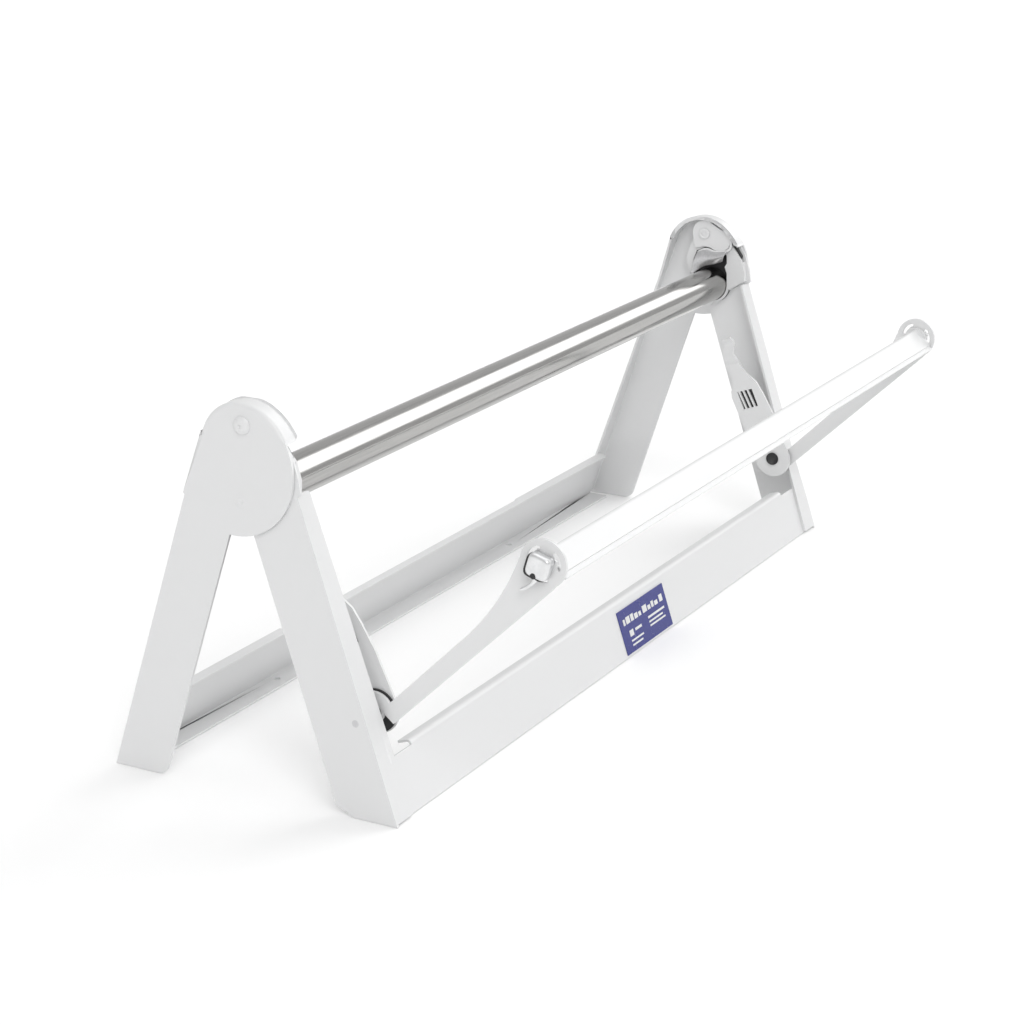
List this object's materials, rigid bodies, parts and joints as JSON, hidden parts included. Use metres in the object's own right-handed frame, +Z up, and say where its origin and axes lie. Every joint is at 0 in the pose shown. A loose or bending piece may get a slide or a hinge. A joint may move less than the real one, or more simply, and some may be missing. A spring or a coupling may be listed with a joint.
{
  "type": "folding a-frame drying rack",
  "caption": "Folding A-frame rack of white sheet steel with a round hanging rail, a swing-out lower rail on slim arms, latch levers and a floor-screwed rear rail.",
  "frame": {"origin": "floor level, half way between the two bench screw holes in the rear rail's floor flange", "axes": "+X along the rails, -Y out of the front panel towards the user, +Z up"},
  "size_m": [0.6252, 0.2877, 0.2334],
  "materials": {
    "white_coat": "smooth white powder coat, satin",
    "rail_steel": "polished stainless tube with fine lengthwise grain",
    "rivet_steel": "pressed steel, satin",
    "zinc": "bright zinc plate",
    "black_nylon": "matt black moulded nylon",
    "label": "glossy printed film, dark blue"
  },
  "bodies": {
    "rear_frame": {"rear_leg_l": "white_coat", "rear_leg_r": "white_coat", "rear_rail": "white_coat", "pivot_rivets": "white_coat", "stop_pins": "white_coat"},
    "front_frame": {"front_leg_l": "white_coat", "front_leg_r": "white_coat", "front_panel": "white_coat", "label_plate": "label", "flush_rivets": "white_coat", "bearing_plate_l": "white_coat", "bearing_plate_r": "white_coat", "rail_liner_l": "black_nylon", "rail_liner_r": "black_nylon", "arm_studs": "rivet_steel", "pivot_spacer_l": "black_nylon", "pivot_spacer_r": "black_nylon"},
    "round_rail": {"hanging_rail": "rail_steel", "rail_plugs": "black_nylon"},
    "keeper_left": {"keeper_l": "white_coat"},
    "keeper_right": {"keeper_r": "white_coat"},
    "latch_left": {"latch_l": "white_coat"},
    "latch_right": {"latch_r": "white_coat"},
    "swing_frame": {"swing_arm_l": "white_coat", "swing_arm_r": "white_coat", "disc_washers": "zinc", "disc_bolts": "zinc"},
    "lower_rail": {"swing_rail": "white_coat"},
    "nut_left": {"wing_nut_l": "zinc"},
    "nut_right": {"wing_nut_r": "zinc"}
  },
  "joints": [
    {"name": "frame_fold", "type": "hinge", "parent": "rear_frame", "child": "front_frame", "pos_m": [0, -0.08873, 0.2205], "axis": [1, 0, 0], "range_deg": [0, 36.6]},
    {"name": "rail_spin", "type": "hinge", "parent": "front_frame", "child": "round_rail", "pos_m": [0, -0.09423, 0.182], "axis": [1, 0, 0], "continuous": true},
    {"name": "keeper_left_turn", "type": "hinge", "parent": "front_frame", "child": "keeper_left", "pos_m": [-0.3004, -0.08873, 0.2205], "axis": [1, 0, 0], "range_deg": [0, 60]},
    {"name": "keeper_right_turn", "type": "hinge", "parent": "front_frame", "child": "keeper_right", "pos_m": [0.3004, -0.08873, 0.2205], "axis": [1, 0, 0], "range_deg": [0, 60]},
    {"name": "latch_left_press", "type": "hinge", "parent": "front_frame", "child": "latch_left", "pos_m": [-0.2837, -0.15685, 0.0575], "axis": [1, 0, 0], "range_deg": [-12, 0]},
    {"name": "latch_right_press", "type": "hinge", "parent": "front_frame", "child": "latch_right", "pos_m": [0.2837, -0.15685, 0.0575], "axis": [1, 0, 0], "range_deg": [-12, 0]},
    {"name": "swing_out", "type": "hinge", "parent": "front_frame", "child": "swing_frame", "pos_m": [0, -0.15685, 0.0575], "axis": [1, 0, 0], "range_deg": [-55, 0]},
    {"name": "lower_rail_tilt", "type": "hinge", "parent": "swing_frame", "child": "lower_rail", "pos_m": [0, -0.26366, 0.16282], "axis": [1, 0, 0], "range_deg": [-30, 30]},
    {"name": "nut_left_spin", "type": "hinge", "parent": "swing_frame", "child": "nut_left", "pos_m": [-0.292, -0.26366, 0.16282], "axis": [1, 0, 0], "continuous": true},
    {"name": "nut_right_spin", "type": "hinge", "parent": "swing_frame", "child": "nut_right", "pos_m": [0.292, -0.26366, 0.16282], "axis": [1, 0, 0], "continuous": true}
  ]
}
